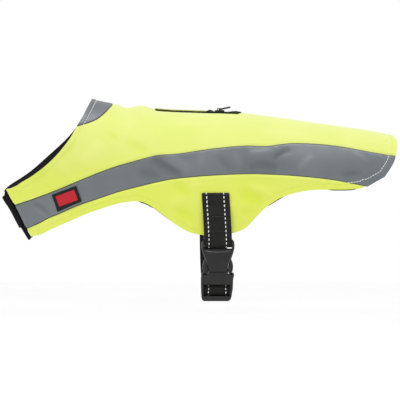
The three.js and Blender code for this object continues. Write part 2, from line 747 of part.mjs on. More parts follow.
// the far end: down the right flap, round under the belly to the socket's middle bar
const FAR_LIFT = NEAR_LIFT.single;
const farDown = spread(BELT.top, -138, 6).map((z) => onFlap(z, FAR_LIFT, 1));
const farFoot = middleOf(onFlap(BELT.leave, FAR_LIFT, 1));
const SOCKET_ENTRY = inBuckle([68.4, -8]);
const HANG = { fromFlap: 55, fromBuckle: 45 };
const bend = [
  farFoot,
  { y: farFoot.y - HANG.fromFlap * DOWN.y, z: farFoot.z + HANG.fromFlap * DOWN.z },
  {
    y: SOCKET_ENTRY.y - HANG.fromBuckle * OUT.y,
    z: SOCKET_ENTRY.z - HANG.fromBuckle * OUT.z,
  },
  SOCKET_ENTRY,
].map((p) => new THREE.Vector3(0, p.y, p.z));
const hanging = new THREE.CubicBezierCurve3(...bend);
const hangPoints = spread(0, 1, 12).map((t) => hanging.getPoint(t));
const SOCKET_WRAP = [
  [68.4, -5],
  [68.3, -2.6],
  [67.5, -0.5],
  [65.6, 0.7],
  [63.2, 1],
  [61.2, 0.7],
  [59.7, -0.5],
  [59.1, -2.6],
  [59.1, -5.5],
  [59.6, -9],
  [61.2, -13],
  [63, -18],
  [64.2, -24],
  [64.8, -31],
  [65, -38],
];
const farFree = freeRun(
  [middleOf(farDown.at(-1)), ...hangPoints, ...SOCKET_WRAP.map(inBuckle), inBuckle([65, -39])],
  1,
);
addPiece("belt_far", loft([...farDown, ...farFree]), BLACK_WEB);

// ---- side-release buckle: the plug on the near end, the socket on the far one ----
// Outlines are in the buckle's frame: x across, and s down the belt.
function symmetricShape(half) {
  const shape = new THREE.Shape();
  shape.moveTo(half[0][0], -half[0][1]);
  half.slice(1).forEach(([x, s]) => shape.lineTo(x, -s));
  const mirrored = half.toReversed().filter(([x]) => x > 0);
  mirrored.forEach(([x, s]) => shape.lineTo(-x, -s));
  return shape;
}

function window(x, from, to) {
  const hole = new THREE.Path();
  hole.moveTo(-x, -from);
  hole.lineTo(-x, -to);
  hole.lineTo(x, -to);
  hole.lineTo(x, -from);
  hole.closePath();
  return hole;
}

// A plate with softened edges between two depths, q from back to front.
function plate(shape, back, front, soft) {
  const body = new THREE.ExtrudeGeometry(shape, {
    depth: front - back - 2 * soft,
    bevelSize: soft,
    bevelThickness: soft,
    bevelOffset: -soft,
    bevelSegments: 1,
  });
  body.translate(0, 0, back + soft);
  return solidOf(body);
}

function addBuckle(name, solid) {
  const mesh = addPiece(name, geometryOf(solid), BLACK_PLASTIC);
  // the frame's -s is the shape's y, and its q is the shape's z
  const basis = new THREE.Matrix4().makeBasis(
    new THREE.Vector3(1, 0, 0),
    new THREE.Vector3(0, -DOWN.y, -DOWN.z),
    new THREE.Vector3(0, OUT.y, OUT.z),
  );
  mesh.quaternion.setFromRotationMatrix(basis);
  mesh.position.set(BUCKLE_X, FOOT.y, FOOT.z);
}

const FRAME = { x: 19, slot: 15.9 };
const PLUG = { back: -3.6, front: 2.2, slotFrom: 9, slotTo: 14.6, soft: 0.7 };
const TOP_BAR = { back: -2.7, front: -1.3 }; // thinner, between the two turns of webbing
const plugOutline = [
  [0, 1.9],
  [13.4, 1.9],
  [16.6, 2.8],
  [18.5, 5],
  [FRAME.x, 8.5],
  [FRAME.x, 12.5],
  [17.8, 17.5],
  [15.2, 25.6],
  [16.6, 28.6],
  [17.7, 33],
  [17.4, 37.5],
  [16.2, 42.6],
  [13.4, 42.9],
  [11.9, 40],
  [11.9, 35],
  [12.9, 30.2],
  [12.2, 30.2],
  [10.6, 39.6],
  [0, 39.6],
];
const plugShape = symmetricShape(plugOutline);
plugShape.holes.push(window(FRAME.slot, PLUG.slotFrom, PLUG.slotTo));
// what the bar lacks in front and behind, past the plug's faces and into its slot
const beyond = 5;
const besideBar = (back, front) =>
  solidOf(block([-FRAME.slot, -PLUG.slotFrom - PLUG.soft, back], [FRAME.slot, 0, front]));
addBuckle(
  "buckle_plug",
  plate(plugShape, PLUG.back, PLUG.front, PLUG.soft)
    .subtract(besideBar(TOP_BAR.front, PLUG.front + beyond))
    .subtract(besideBar(PLUG.back - beyond, TOP_BAR.back)),
);

const SOCKET = { back: -5.6, front: 4.4, windowFrom: 56.6, windowTo: 69.8, soft: 0.9 };
const MIDDLE_BAR = { from: 61.5, to: 65, back: -3.4, front: -1 };
const socketOutline = [
  [0, 39.9],
  [10.5, 39.9],
  [11.3, 43],
  [13.6, 44],
  [16.4, 43.6],
  [17.9, 41.8],
  [18.8, 43.6],
  [19.3, 49],
  [19.1, 60],
  [18.6, 69.6],
  [17.8, 72.8],
  [15.4, 74.5],
  [0, 74.5],
];
const socketShape = symmetricShape(socketOutline);
socketShape.holes.push(window(FRAME.slot, SOCKET.windowFrom, SOCKET.windowTo));
const middleBar = block(
  [-FRAME.slot - 1, -MIDDLE_BAR.to, MIDDLE_BAR.back],
  [FRAME.slot + 1, -MIDDLE_BAR.from, MIDDLE_BAR.front],
);
addBuckle(
  "buckle_socket",
  plate(socketShape, SOCKET.back, SOCKET.front, SOCKET.soft).add(solidOf(middleBar)),
);

export default vest;
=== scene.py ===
import contextlib
import math

import bmesh
import bpy
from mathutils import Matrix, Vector, kdtree, noise
from mathutils.bvhtree import BVHTree


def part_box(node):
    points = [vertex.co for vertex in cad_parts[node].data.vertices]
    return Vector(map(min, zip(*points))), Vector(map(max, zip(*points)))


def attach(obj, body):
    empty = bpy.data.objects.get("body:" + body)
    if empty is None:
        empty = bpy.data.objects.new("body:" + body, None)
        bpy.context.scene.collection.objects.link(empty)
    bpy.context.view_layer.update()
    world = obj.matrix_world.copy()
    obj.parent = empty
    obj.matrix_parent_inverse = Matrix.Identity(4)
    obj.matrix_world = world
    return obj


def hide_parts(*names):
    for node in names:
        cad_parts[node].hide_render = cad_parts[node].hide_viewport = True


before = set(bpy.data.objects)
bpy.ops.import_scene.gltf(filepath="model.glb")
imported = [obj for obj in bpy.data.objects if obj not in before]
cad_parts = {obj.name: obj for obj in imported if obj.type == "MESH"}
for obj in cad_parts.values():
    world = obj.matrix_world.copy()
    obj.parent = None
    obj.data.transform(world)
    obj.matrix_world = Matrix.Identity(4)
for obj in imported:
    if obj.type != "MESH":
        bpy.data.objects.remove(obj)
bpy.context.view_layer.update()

mm = 0.001

# ---- studio ----
# A plain pale floor well below the hanging vest, a pale room, soft boxes above and in
# front, and a long lens a little towards the neck and a little above the back.
bpy.context.scene.view_settings.view_transform = "Standard"
for thing in [o for o in bpy.data.objects if o.type in {"LIGHT", "CAMERA"}]:
    bpy.data.objects.remove(thing)


class Value:
    """A number in a shader. Sums and products of it add Math nodes."""

    def __init__(self, finish, socket):
        self.finish, self.socket = finish, socket

    def work(self, operation, *values):
        return self.finish.node("Math", {"operation": operation}, *values)

    def __add__(self, other):
        return self.work("ADD", self, other)

    def __sub__(self, other):
        return self.work("SUBTRACT", self, other)

    def __rsub__(self, other):
        return self.work("SUBTRACT", other, self)

    def __mul__(self, other):
        return self.work("MULTIPLY", self, other)

    def __abs__(self):
        return self.work("ABSOLUTE", self)

    __radd__ = __add__
    __rmul__ = __mul__

    def wave(self, length):
        """A sine of that wavelength, -1 to 1."""
        return self.work("SINE", self * (2 * math.pi / length))

    def step(self, low, high):
        """0 below low, 1 above high, and smooth between."""
        ramp = {"interpolation_type": "SMOOTHSTEP"}
        return self.finish.node("MapRange", ramp, self, low, high, 0.0, 1.0)


class Finish:
    """A procedural material: its node tree, and the calls that fill it."""

    def __init__(self, name, **fixed):
        self.material = bpy.data.materials.new(name)
        self.material.use_nodes = True
        self.tree = self.material.node_tree
        self.shader = self.tree.nodes["Principled BSDF"]
        for socket, value in fixed.items():
            self.shader.inputs[socket.replace("_", " ")].default_value = value

    def node(self, kind, settings, *values, out=0, at=(), **named):
        """A shader node. Its sockets are given in order, by number in at, or by name."""
        made = self.tree.nodes.new("ShaderNode" + kind)
        for key, value in settings.items():
            setattr(made, key, value)
        for key, value in [*(at or enumerate(values)), *named.items()]:
            socket = made.inputs[key.replace("_", " ") if isinstance(key, str) else key]
            if isinstance(value, Value):
                self.tree.links.new(value.socket, socket)
            else:
                socket.default_value = value
        return Value(self, made.outputs[out])

    def place(self, turn=(0, 0, 0), centre=(0, 0, 0), source="Object"):
        """Coordinates in metres, from a centre and turned."""
        spot = self.node("TexCoord", {}, out=["Generated", "Normal", "UV", "Object"].index(source))
        middle = self.node("VectorMath", {"operation": "SUBTRACT"}, spot, centre)
        return self.node("Mapping", {"vector_type": "TEXTURE"}, middle, Rotation=turn)

    def noted(self, name):
        """A number kept at the cloth's points."""
        return self.node("Attribute", {"attribute_name": name}, out=2)

    def parts(self, vector):
        return [self.node("SeparateXYZ", {}, vector, out=axis) for axis in range(3)]

    def grain(self, vector, scale, detail=2.0, rough=0.5):
        return self.node("TexNoise", {}, Vector=vector, Scale=scale, Detail=detail, Roughness=rough)

    def mix(self, amount, one, two):
        """One colour at 0 and the other at 1."""
        one, two = (c if isinstance(c, Value) else (*c, 1) for c in (one, two))
        return self.node("Mix", {"data_type": "RGBA"}, at=[(0, amount), (6, one), (7, two)], out=2)

    def wear(self, **links):
        """Joins worked-out values to the shader's sockets."""
        for socket, value in links.items():
            self.tree.links.new(value.socket, self.shader.inputs[socket.replace("_", " ")])

    def relief(self, height, depth, strength=1.0):
        """Fine relief of the given depth in metres."""
        bump = self.node("Bump", {}, Strength=strength, Distance=depth, Height=height)
        self.wear(Normal=bump)
        return self.material


def pale(name, colour, fleck):
    finish = Finish(name, Roughness=0.9)
    tone = finish.grain(finish.place(), 3.0).step(0.2, 0.8)
    finish.wear(Base_Color=finish.mix(tone, colour, fleck))
    return finish.material


FLOOR = -0.37
bpy.ops.object.select_all(action="DESELECT")
bpy.ops.mesh.primitive_circle_add(vertices=96, radius=6, fill_type="NGON", location=(0, 0, FLOOR))
floor = bpy.context.object
floor.name = "floor"
bpy.ops.object.transform_apply(location=True)
floor.data.materials.append(pale("floor_paper", (0.98, 0.98, 0.98), (0.96, 0.96, 0.96)))

room = bpy.data.worlds.new("room")
room.use_nodes = True
room.node_tree.nodes["Background"].inputs["Color"].default_value = (1, 1, 1, 1)
room.node_tree.nodes["Background"].inputs["Strength"].default_value = 1.0
bpy.context.scene.world = room

AIM = Vector((-0.0012, -0.05, -0.1006))


def soft_box(name, place, size, power):
    aim = (AIM - Vector(place)).to_track_quat("-Z", "Y").to_euler()
    bpy.ops.object.light_add(type="AREA", location=place, rotation=aim)
    light = bpy.context.object
    light.name = name
    light.data.size = size
    light.data.energy = power


soft_box("top_box", (0.3, -0.5, 1.9), 0.9, 20)
soft_box("front_box", (-1.6, -1.8, 0.5), 0.5, 7)

DISTANCE = 12.0
FRAME_WIDTH = 0.46  # what the lens takes in at the vest
azimuth, elevation = math.radians(-2.2), math.radians(1.2)
level = Vector((math.sin(azimuth), -math.cos(azimuth), 0))
outwards = level * math.cos(elevation) + Vector((0, 0, math.sin(elevation)))
turned = (-outwards).to_track_quat("-Z", "Y").to_euler()
bpy.ops.object.camera_add(location=AIM + outwards * DISTANCE, rotation=turned)
camera = bpy.context.object
camera.data.sensor_width = 36
camera.data.lens = camera.data.sensor_width * DISTANCE / FRAME_WIDTH
bpy.context.scene.camera = camera

# ---- outer cloth: two back panels, two side bands and two flank panels ----
# Woven polyester, cut in three pieces a side and pieced along the band's two edges. The
# yellow is fluorescent; the band is grey cloth faced with glass beads. Free edges are
# turned under and sewn down.
WITHIN = Vector((0, 0, -70 * mm))  # a point inside the wearer


def ease(low, high, value):
    """0 below low, 1 above high, smooth between."""
    t = min(max((value - low) / (high - low), 0), 1)
    return t * t * (3 - 2 * t)


def bell(value, middle, reach):
    """1 at the middle, and softly down to nothing at about twice the reach from it."""
    return math.exp(-(((value - middle) / reach) ** 2))


def behind_neck(x, z):
    """How far a point lies behind the line of the neck's edge, in mm."""
    return x - (1.05 * z - 133)


def behind_front(x, z):
    """How far a point lies behind the line of the chest's front edge, in mm."""
    return x + 222 + 0.558 * (z + 90)


def drawn_back(x, y, z):
    """How far the neck edge is drawn towards the tail, in mm.

    The far side leans back at the nape and the chest and forward between them. The nape
    is also drawn forward a little, and so is the near front edge, by the closure.
    """
    at_nape, at_chest = ease(-60, -14, z), ease(-80, -94, z)
    between = 1 - max(at_nape, at_chest)
    to_far_side = max(y + 36, 0)
    back = to_far_side * (0.043 * at_nape + 0.036 * at_chest - 0.055 * between)
    back *= ease(70, 10, behind_neck(x, z))
    forward = 1.3 * ease(-34, -2, z) + 1.3 * bell(z, -16, 8)
    back -= forward * ease(36, 8, behind_neck(x, z))
    if y < 4 and z < -80:
        back -= 1.9 * ease(22, 2, behind_front(x, z)) * ease(-10, -2, behind_front(x, z))
    return back


def sag(x, y, z):
    """How far the cloth hangs below its plain shape, in mm: most at the front's corners."""
    near = ease(-4, -18, y)
    corner = 1.4 * near * ease(-205, -213, x) * ease(-223, -216, x)
    corner += 3.4 * (1 - near) * ease(-203, -212, x) * ease(-229, -221, x)
    corner *= ease(36, 10, behind_neck(x, z)) * ease(-110, -98, z)
    foot = 2.7 * ease(-112, -134, z) * ease(-170, -186, x)
    band = 2.0 * bell(x, -166, 16) * bell(z, -117 + 0.42 * (x + 170), 7)  # its lower seam
    flap = 1.6 * bell(x, -14, 18) * ease(-112, -130, z)
    flap -= 1.4 * bell(x, 70, 12) * ease(-98, -112, z)  # its rear edge is held up
    hump = 1.6 * bell(x, -66, 9) - 0.9 * bell(x, -84, 5)  # on the back, before the zip
    return corner + foot + band + flap - hump * ease(-22, -6, z)


def settled(point):
    """The place of a point of the plain shape once the cloth hangs as it is worn."""
    x, y, z = point / mm
    return point + Vector((drawn_back(x, y, z) * mm, 0, -sag(x, y, z) * mm))


def keep_corners(shape):
    """Creases the corners of a cut edge, so that smoothing doesn't round them."""
    crease = shape.verts.layers.float.new("crease_vert")
    for vertex in shape.verts:
        ways = [e.other_vert(vertex).co - vertex.co for e in vertex.link_edges if e.is_boundary]
        if len(ways) == 2 and ways[0].angle(ways[1]) < math.radians(155):
            vertex[crease] = 1.0


def merged(node):
    """A CAD node's mesh to work on, its loose triangles joined up."""
    shape = bmesh.new()
    shape.from_mesh(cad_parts[node].data)
    bmesh.ops.remove_doubles(shape, verts=shape.verts, dist=0.02 * mm)
    shape.normal_update()
    return shape


def new_piece(name, mesh):
    piece = bpy.data.objects.new(name, mesh)
    bpy.context.collection.objects.link(piece)
    return piece


def alone(piece):
    bpy.ops.object.select_all(action="DESELECT")
    piece.select_set(True)
    bpy.context.view_layer.objects.active = piece


def modified(piece, kind, **settings):
    """Puts a modifier on a piece and applies it."""
    alone(piece)
    modifier = piece.modifiers.new("work", kind)
    for key, value in settings.items():
        setattr(modifier, key, value)
    bpy.ops.object.modifier_apply(modifier=modifier.name)


def smooth(mesh):
    for face in mesh.polygons:
        face.use_smooth = True


def skin_of(node, facing=1, levels=3):
    """One face of a CAD wall as a smooth surface: the outer one (facing 1) or the inner (-1)."""
    shape = merged(node)
    seen, faces_of = set(), []
    for face in shape.faces:
        if face in seen:
            continue
        seen.add(face)
        patch = [face]
        for at in patch:
            for edge in at.edges:
                if edge.calc_face_angle(math.pi) < math.radians(45):  # the wall's edge is sharper
                    near = [f for f in edge.link_faces if f not in seen]
                    seen.update(near)
                    patch.extend(near)
        faces_of.append(patch)

    def turned_out(patch):
        return sum(f.calc_area() * f.normal.dot(f.calc_center_median() - WITHIN) for f in patch)

    kept = set(max(faces_of, key=lambda patch: facing * turned_out(patch)))
    bmesh.ops.delete(shape, geom=[f for f in shape.faces if f not in kept], context="FACES")
    bmesh.ops.join_triangles(
        shape,
        faces=shape.faces,
        angle_face_threshold=math.radians(50),
        angle_shape_threshold=math.radians(70),
    )
    keep_corners(shape)
    mesh = bpy.data.meshes.new(node)
    shape.to_mesh(mesh)
    shape.free()
    smooth(mesh)
    piece = new_piece("cloth_" + node, mesh)
    corners = "PRESERVE_CORNERS"
    modified(piece, "SUBSURF", levels=levels, render_levels=levels, boundary_smooth=corners)
    for vertex in mesh.vertices:
        vertex.co = settled(vertex.co)
    return piece


def edge_points(piece):
    """Where the open edge of a skin runs."""
    shape = bmesh.new()
    shape.from_mesh(piece.data)
    points = [v.co.copy() for v in shape.verts if v.is_boundary]
    shape.free()
    return points


def tree_of(points):
    tree = kdtree.KDTree(len(points))
    for i, point in enumerate(points):
        tree.insert(point, i)
    tree.balance()
    return tree


SIDES = {"left": -1, "right": 1}
OUTER = [f"{cut}_{side}" for side in SIDES for cut in ("back_panel", "stripe", "flank_panel")]
OUTER.append("nape_patch")
cloth = {node: skin_of(node) for node in OUTER}
rims = {node: edge_points(cloth[node]) for node in OUTER}

# Each point of an outer edge is a seam where another panel meets it, the zip's turned
# edge beside the opening on the back, or else a hem.
SEAM_REACH = 1.7 * mm
ON_BACK = -20 * mm  # the back lies above this height
ZIP_FROM, ZIP_TO = (corner.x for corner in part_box("zip_tape_left"))
edges = {}
for node in OUTER:
    others = tree_of([p for other in OUTER if other != node for p in rims[other]])
    kinds = {"seam": [], "zip": [], "hem": []}
    for point in rims[node]:
        past_zip = max(ZIP_FROM - point.x, point.x - ZIP_TO)
        beside = 0.8 * mm < abs(point.y) < 5 * mm and point.z > ON_BACK
        if beside and past_zip < 14 * mm:
            kinds["zip"].append(point)
        elif others.find(point)[2] < SEAM_REACH:
            kinds["seam"].append(point)
        else:
            kinds["hem"].append(point)
    edges[node] = {kind: tree_of(points) for kind, points in kinds.items() if points}


def away(node, kind, point):
    """Distance in mm from an edge of that kind."""
    tree = edges[node].get(kind)
    return tree.find(point)[2] / mm if tree else 999.0


# Soft folds in the worn cloth, in mm in side view. Each runs from its first point to its
# third, drawn towards the second. After them come half its width, and how far it rises.
FOLDS = {
    "left": [
        ((-57, -51), (-43, -63), (-20, -72), 4.6, -1.8),
        ((-46, -50), (-30, -57), (-10, -66), 5.5, 0.8),
        ((-74, -66), (-60, -70), (-46, -75), 5, -0.6),
        ((1, -44), (1, -54), (-4, -66), 4.5, 0.5),
        ((16, -48), (25, -58), (36, -68), 4.5, -0.6),
        ((36, -46), (43, -56), (46, -66), 4.5, 0.5),
        ((54, -64), (68, -60), (88, -64), 6, -1.7),
        ((82, -56), (91, -46), (104, -43), 3.5, -1.1),
        ((52, -46), (68, -47), (84, -43), 4, 0.9),
        ((110, -66), (118, -60), (130, -50), 3.6, 0.8),
        ((160, -70), (172, -71), (186, -69), 3.5, -0.7),
        ((176, -46), (187, -52), (193, -59), 3, 0.5),
        ((205, -48), (209, -51), (212, -55), 2, 0.6),
        ((-194, -103), (-184, -108), (-174, -119), 3.5, -0.9),
        ((-190, -108), (-182, -114), (-176, -122), 3, 0.6),
        ((-108, -23), (-101, -28), (-93, -33), 4.5, -0.7),
        ((-87, -30), (-76, -40), (-61, -45), 6, -0.9),
        ((-112, -34), (-124, -46), (-139, -60), 7, 0.9),
        ((-145, -33), (-152, -44), (-163, -52), 4, -0.9),
        ((-150, -70), (-160, -62), (-168, -56), 6, 0.5),
        ((-177, -63), (-184, -70), (-193, -78), 5, -0.8),
        ((-60, -20), (-20, -24), (20, -20), 9, -0.4),
        ((60, -22), (100, -24), (140, -30), 8, 0.4),
        ((-35, -81), (-24, -86), (-13, -95), 5, -0.9),
        ((-15, -81), (-6, -85), (0, -92), 5, 0.8),
        ((-33, -106), (-20, -118), (-4, -124), 6.5, -1.0),
        ((-18, -98), (-28, -103), (-38, -104), 4, 0.6),
        ((42, -89), (54, -98), (72, -104), 7, -1.1),
        ((52, -83), (66, -87), (82, -95), 4, 0.9),
        ((42, -113), (52, -116), (62, -112), 5, -0.7),
    ],
    "right": [
        ((-48, -50), (-36, -60), (-16, -70), 5, -1.5),
        ((-30, -48), (-18, -55), (0, -64), 5.5, 0.7),
        ((22, -48), (30, -58), (40, -67), 4.5, -0.6),
        ((60, -62), (76, -60), (94, -64), 6, -1.5),
        ((62, -47), (78, -48), (92, -44), 4, 0.8),
        ((120, -66), (128, -60), (138, -50), 3.6, 0.7),
        ((170, -58), (182, -66), (190, -78), 3.5, -0.8),
        ((-186, -100), (-176, -108), (-160, -114), 3.5, -0.9),
        ((-96, -26), (-88, -34), (-74, -40), 6, -0.9),
        ((-118, -34), (-130, -46), (-146, -56), 7, 0.9),
        ((-150, -34), (-158, -46), (-168, -54), 4, -0.8),
        ((-40, -20), (0, -26), (40, -22), 9, 0.5),
        ((80, -20), (120, -28), (160, -30), 8, -0.5),
        ((-38, -84), (-26, -90), (-14, -100), 5, -0.9),
        ((-24, -104), (-14, -116), (-2, -124), 6, 0.8),
        ((44, -88), (56, -94), (74, -98), 6, -1.0),
        ((50, -82), (64, -84), (80, -90), 4, 0.8),
        ((42, -112), (52, -114), (60, -108), 5, 0.6),
    ],
}


def fold_lines():
    """The folds as they lie on the cloth: the points of each, and how much each point counts."""
    lines = []
    for side, sign in SIDES.items():
        graph = bpy.context.evaluated_depsgraph_get()
        skins = [BVHTree.FromObject(cloth[n], graph) for n in OUTER if n.endswith(side)]
        for (x0, z0), (x1, z1), (x2, z2), half, rise in FOLDS[side]:
            steps = 40
            line = []
            for i in range(steps + 1):
                t = i / steps
                near, far, middle = (1 - t) ** 2, t * t, 2 * t * (1 - t)
                x = near * x0 + middle * x1 + far * x2
                z = near * z0 + middle * z1 + far * z2
                start = Vector((x * mm, sign * 0.2, z * mm))
                for skin in skins:
                    hit = skin.ray_cast(start, Vector((0, -sign, 0)))[0]
                    if hit:
                        line.append((hit, math.sin(math.pi * t) ** 0.7))
                        break
            fold = {"side": sign, "half": half, "rise": rise}
            fold["tree"] = tree_of([p for p, _ in line])
            fold["taper"] = [thin for _, thin in line]
            lines.append(fold)
    return lines


folds = fold_lines()
BELT_X = sum(corner.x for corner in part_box("belt_near")) / 2


def calm(point):
    """0 on the zip and under the belt, where the cloth is held flat, and 1 well away."""
    past_end = max(ZIP_FROM - point.x, point.x - ZIP_TO, 0)
    from_zip = math.hypot(past_end, point.y) - 5 * mm if point.z > ON_BACK else 1
    from_belt = abs(point.x - BELT_X) - 17 * mm if point.z < -84 * mm else 1
    return ease(0, 14 * mm, min(from_zip, from_belt))


def drape(point):
    """How far the cloth lies off its plain shape at a point, in mm."""
    height = 0.42 * noise.noise(point / (46 * mm)) + 0.16 * noise.noise(point / (15 * mm))
    for fold in folds:
        if fold["side"] * point.y < 0:
            continue
        _, nearest, gap = fold["tree"].find(point)
        if gap < 2.6 * fold["half"] * mm:
            height += fold["rise"] * fold["taper"][nearest] * bell(gap / mm, 0, fold["half"])
    return height * calm(point)


# From an edge to its row of stitches, in mm.
PLAIN_HEM, ZIP_TOPSTITCH = 6.0, 3.4
GREY_HEM = {"nape_patch": 5.6, "stripe_left": 8.0, "stripe_right": 8.0}


def sewn(node, point):
    """How far sewing pulls or lifts the cloth near its edges, in mm."""
    seam, hem, opening = (away(node, kind, point) for kind in ("seam", "hem", "zip"))
    pucker = noise.noise(point / (7 * mm))
    firm = 1.0 if node in GREY_HEM else 0.35  # the grey cloth's facing is stiffer
    height = -0.75 * bell(seam, 0, 1.1)
    height += (0.2 + 0.12 * pucker) * bell(seam, 3, 1.8) * (1.2 - firm)
    height += 0.22 * pucker * math.exp(-seam / 6)
    turned_in = GREY_HEM.get(node, PLAIN_HEM) * calm(point)
    for edge, width in ((hem, turned_in), (opening, ZIP_TOPSTITCH)):
        if width > 1 and edge < 3 * width:
            height += 0.28 * firm / (1 + math.exp(3 * (edge - width)))
            height -= 0.4 * firm * bell(edge, width, 0.9)
            height += 0.3 * pucker * bell(edge, width, 4)
    return height + slack(point)


def slack(point):
    """The near edge of the zip's opening droops and the far one stands up a little, in mm."""
    x, y, z = point / mm
    if z < ON_BACK / mm or not ZIP_FROM / mm < x < ZIP_TO / mm:
        return 0.0
    held = ease(ZIP_FROM / mm, ZIP_FROM / mm + 2, x) * ease(ZIP_TO / mm, ZIP_TO / mm - 6, x)
    if y < 0:
        return -1.6 * held * ease(0.5, 3.2, -y) * ease(18, 4, -y)
    return 1.4 * held * ease(0.5, 3.2, y) * ease(14, 4, y) * ease(24, 6, x)


def follow_cloth(piece, near=lambda point: 0.0):
    """Moves every point of a piece along its normal by drape, and by near as well."""
    piece.data.update()
    normals = [v.normal.copy() for v in piece.data.vertices]
    for vertex, normal in zip(piece.data.vertices, normals):
        out = 1 if normal.dot(vertex.co - WITHIN) > 0 else -1
        vertex.co += normal * out * (drape(vertex.co) + near(vertex.co)) * mm
    piece.data.update()


def round_body(vertex):
    """Metres along the back and round the body, for a weave that follows the cloth."""
    x, y, z = vertex.co
    radius = 72 * mm
    return x, radius * math.atan2(y, z + radius)


def lay_uv(piece, spot=round_body):
    layer = piece.data.uv_layers.new(name="cloth")
    for loop in piece.data.loops:
        layer.data[loop.index].uv = spot(piece.data.vertices[loop.vertex_index])


def rounded(piece, width, segments, angle):
    """Rounds the edges that are sharper than an angle in degrees."""
    settings = {"width": width, "segments": segments, "angle_limit": math.radians(angle)}
    modified(piece, "BEVEL", limit_method="ANGLE", **settings)


def thicken(piece, cloth_thickness, rounding):
    """Gives a skin its thickness inwards, and rounds its edges."""
    modified(piece, "SOLIDIFY", thickness=cloth_thickness, offset=-1)
    rounded(piece, rounding, 2, 55)
    smooth(piece.data)


def note(piece, name, value):
    """Keeps a number at every point of a piece for its material to read."""
    kept = piece.data.attributes.new(name, "FLOAT", "POINT")
    for entry, vertex in zip(kept.data, piece.data.vertices):
        entry.value = value(vertex.co)


def woven(finish, pitch):
    """A plain weave on the piece's own UV, 0 to 1."""
    across, along, _ = finish.parts(finish.place(source="UV"))
    return across.wave(pitch) * along.wave(pitch) * 0.5 + 0.5


def hi_vis():
    finish = Finish("hi_vis_cloth", Sheen_Weight=0.35, Sheen_Roughness=0.5)
    here = finish.place()
    tone = finish.grain(here, 14.0).step(0.3, 0.7)
    speck = finish.grain(here, 900.0, detail=1.0)
    plain = finish.mix(tone, (0.545, 0.60, 0.090), (0.575, 0.62, 0.115))
    # Painted shade and light: darker in the folds' troughs and paler on their ridges.
    raised = finish.noted("fold").step(-1.3, 1.0)
    painted_fold_shading = finish.mix(raised, (0.47, 0.58, 0.018), (0.61, 0.64, 0.17))
    # Painted highlight: paler yellow along the rolled edge at each seam.
    seam_highlight = finish.noted("seam").step(1.7, 0.5) * 0.6
    colour = finish.mix(seam_highlight, finish.mix(0.55, plain, painted_fold_shading), (0.66, 0.70, 0.20))
    painted_top_light = finish.parts(here)[2].step(-95 * mm, -30 * mm)  # painted light and shade by height: paler on the back, deeper on the flaps
    colour = finish.mix(0.3 - painted_top_light * 0.3, colour, (0.60, 0.68, 0.0))
    colour = finish.mix(painted_top_light * 0.09, colour, (0.50, 0.55, 0.42))
    finish.wear(Base_Color=colour, Roughness=speck * 0.2 + 0.62)
    return finish.relief(woven(finish, 0.8 * mm) * 0.5 + speck, 0.06 * mm, 0.5)


def reflective():
    finish = Finish("reflective_cloth", Metallic=0.35)
    here = finish.place()
    tone = finish.grain(here, 22.0, detail=3.0).step(0.3, 0.75)
    bead = finish.grain(here, 2500.0, detail=0.0)
    scuff = finish.grain(here, 120.0, detail=4.0, rough=0.7)
    plain = finish.mix(tone, (0.112, 0.126, 0.136), (0.140, 0.153, 0.164))
    # Painted shade and light: darker in the folds' troughs and paler on their ridges.
    raised = finish.noted("fold").step(-1.2, 1.0)
    painted_fold_shading = finish.mix(raised, (0.072, 0.082, 0.090), (0.176, 0.190, 0.202))
    # Painted shade in each seam's groove, tinted olive as a painted reflection of the yellow beside it.
    seam_groove_shade = finish.noted("seam").step(1.5, 0.5) * 0.75
    colour = finish.mix(seam_groove_shade, finish.mix(0.55, plain, painted_fold_shading), (0.034, 0.036, 0.012))
    finish.wear(Base_Color=colour, Roughness=scuff * 0.25 + 0.36)
    return finish.relief(bead + woven(finish, 0.8 * mm) * 0.3, 0.03 * mm, 0.5)


# Each cut: its material and slot, and its flat piece's size in metres and area in square metres.
YELLOW, GREY = hi_vis(), reflective()
CUTS = {
    "back_panel": {"cloth": YELLOW, "slot": "hi_vis_cloth", "flat": (0.46, 0.14), "area": 0.0292},
    "stripe": {"cloth": GREY, "slot": "reflective_cloth", "flat": (0.455, 0.09), "area": 0.0147},
    "flank_panel": {"cloth": YELLOW, "slot": "hi_vis_cloth", "flat": (0.4, 0.075), "area": 0.0116},
    "nape_patch": {"cloth": GREY, "slot": "reflective_cloth", "flat": (0.1, 0.045), "area": 0.0026},
}


def dress(piece, node, finish, body="vest"):
    """Gives a piece its material and name, and puts it in its node's place."""
    if not piece.name.startswith(node):
        piece.name = node + "_sewn"
    piece.data.materials.clear()
    piece.data.materials.append(finish)
    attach(piece, body)
    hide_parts(node)


plain_skins = {}  # the cloth's outer face, for what is sewn on it later
for node in OUTER:
    cut = CUTS[node.removesuffix("_left").removesuffix("_right")]
    piece = cloth[node]
    follow_cloth(piece, lambda point, node=node: sewn(node, point))
    plain_skins[node] = piece.data.copy()
    # The seam distances and fold heights are kept for the materials, which paint shade and highlights
    # from them.
    note(piece, "seam", lambda point, node=node: min(away(node, "seam", point), 12.0))
    note(piece, "fold", drape)
    lay_uv(piece)
    thicken(piece, 1.15 * mm, 0.4 * mm)
    dress(piece, node, cut["cloth"])
    under = "lining_" + node.split("_")[-1] if node != "nape_patch" else "nape_lining"

# ---- lining ----
# Black knitted mesh, cut like the outer cloth and sewn to it along every free edge. It
# shows inside the neck, the armholes and the tail, and peeps out a little at a few edges.


